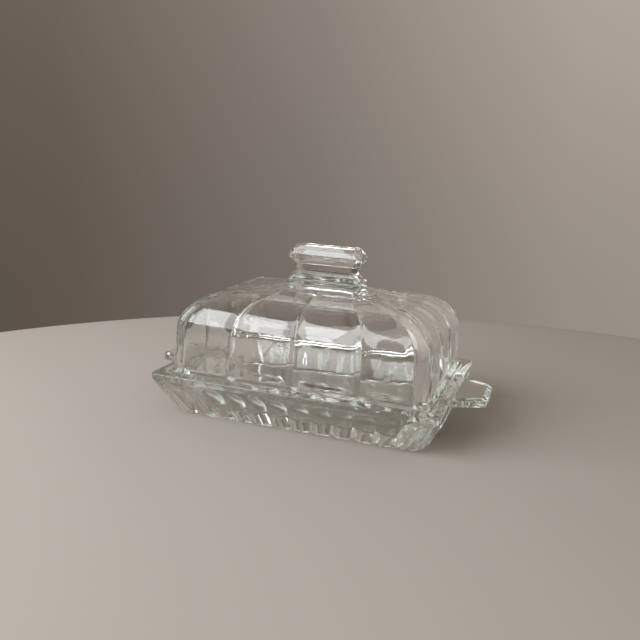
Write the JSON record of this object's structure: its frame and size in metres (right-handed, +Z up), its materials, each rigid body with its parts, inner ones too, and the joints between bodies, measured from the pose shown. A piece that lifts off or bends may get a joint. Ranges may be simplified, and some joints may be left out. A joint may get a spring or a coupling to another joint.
{
  "type": "covered butter dish",
  "caption": "Rectangular pressed-glass butter dish with a fluted flared dish, a tab at each end, and a panelled domed cover that lifts off by a spool-shaped knob.",
  "frame": {"origin": "on the table plane, under the middle of the dish", "axes": "+X along the length towards one tab, +Y across the width, +Z up"},
  "size_m": [0.182, 0.11, 0.0873],
  "materials": {
    "dish_glass": "polished clear pressed glass with a faint green-grey cast, thick walled",
    "cover_glass": "polished clear pressed glass with a faint green-grey cast"
  },
  "bodies": {
    "dish": {"dish": "dish_glass"},
    "cover": {"cover": "cover_glass"}
  },
  "joints": [
    {"name": "cover_lift", "type": "slide", "parent": "dish", "child": "cover", "axis": [0, 0, 1], "range_m": [0, 0.09]}
  ]
}
